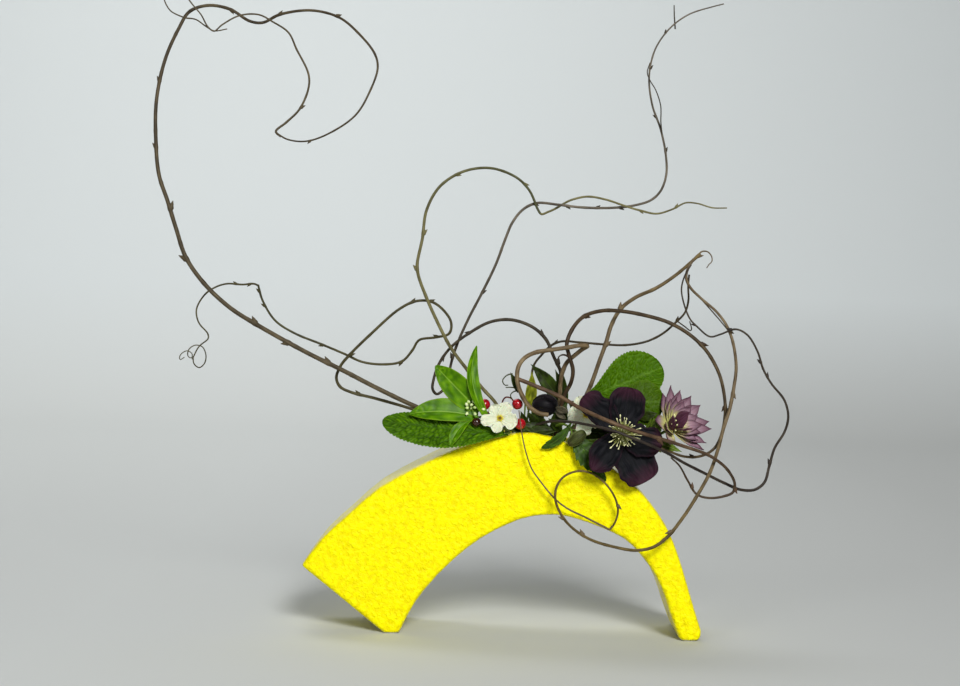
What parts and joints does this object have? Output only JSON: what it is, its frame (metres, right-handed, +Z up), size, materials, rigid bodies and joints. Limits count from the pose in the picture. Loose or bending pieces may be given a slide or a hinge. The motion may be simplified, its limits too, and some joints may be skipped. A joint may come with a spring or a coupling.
{
  "type": "ikebana arrangement",
  "caption": "Bare curling vines, dark and lilac hellebores, white primroses, berries and leaves standing in the mouth of an arched yellow ceramic vase.",
  "frame": {"origin": "under the middle of the whole arrangement's bounding box, on the surface that the vase stands on", "axes": "+Z up, -Y out of the vase's rough front, +X towards the vase's slim foot"},
  "size_m": [0.495, 0.1, 0.4931],
  "materials": {
    "glaze": "rough crackled yellow glaze",
    "water": "clear water",
    "brown_bark": "ridged brown bark",
    "olive_bark": "smooth olive bark",
    "grey_bark": "grey-brown bark",
    "red_bark": "red-brown bark",
    "dark_bark": "dark bark",
    "tan_bark": "peeling tan bark",
    "primula_green": "puckered leaf",
    "deep_primula_green": "puckered leaf",
    "glossy_green": "smooth glossy leaf",
    "bud_white": "waxy pale bud",
    "berry_red": "shiny berry skin",
    "twig_red": "red-brown twig",
    "petal_white": "soft petal",
    "eye_yellow": "soft flower eye",
    "stem_green": "green stem",
    "near_black": "near-black sepal",
    "stamen_cream": "powdery stamens",
    "nectary_green": "waxy nectaries",
    "lilac": "lilac petals with dark edges",
    "lime_centre": "yellow-green flower middle",
    "grey_bud": "grey-green bud",
    "lime_leaf": "smooth leaf",
    "dark_leaf": "smooth dark leaf"
  },
  "bodies": {
    "root": {"vase": "glaze", "water": "water", "left_sweeping_vine": "brown_bark", "left_looped_vine": "olive_bark", "middle_hooped_vine": "olive_bark", "tall_vine": "grey_bark", "crest_vine": "brown_bark", "ring_vine": "red_bark", "outer_trailing_vine": "dark_bark", "knotted_vine": "tan_bark", "thin_bridging_vine": "dark_bark", "primula_leaf_left": "deep_primula_green", "primula_leaf_upright": "primula_green", "primula_leaf_folding": "primula_green", "evergreen_sprig": "glossy_green", "evergreen_sprig_buds": "bud_white", "lime_leaf": "lime_leaf", "dark_pointed_leaf": "dark_leaf", "dark_upright_leaf": "dark_leaf", "small_leaf_with_threads": "dark_leaf", "hanging_toothed_leaf": "dark_leaf", "berry_twig": "twig_red", "berry_left": "berry_red", "berry_left_low": "berry_red", "berry_left_dark": "berry_red", "berry_right_high": "berry_red", "berry_right_low": "berry_red", "dark_hellebore_bud": "near_black", "grey_nodding_bud": "grey_bud", "front_primrose_petals": "petal_white", "front_primrose_eye": "eye_yellow", "front_primrose_stem": "stem_green", "side_primrose_petals": "petal_white", "side_primrose_eye": "eye_yellow", "side_primrose_stem": "stem_green", "dark_hellebore_sepals": "near_black", "dark_hellebore_stamens": "stamen_cream", "dark_hellebore_nectaries": "nectary_green", "dark_hellebore_stem": "stem_green", "double_hellebore_petals": "lilac", "double_hellebore_middle": "lime_centre", "double_hellebore_stem": "stem_green"}
  },
  "joints": []
}
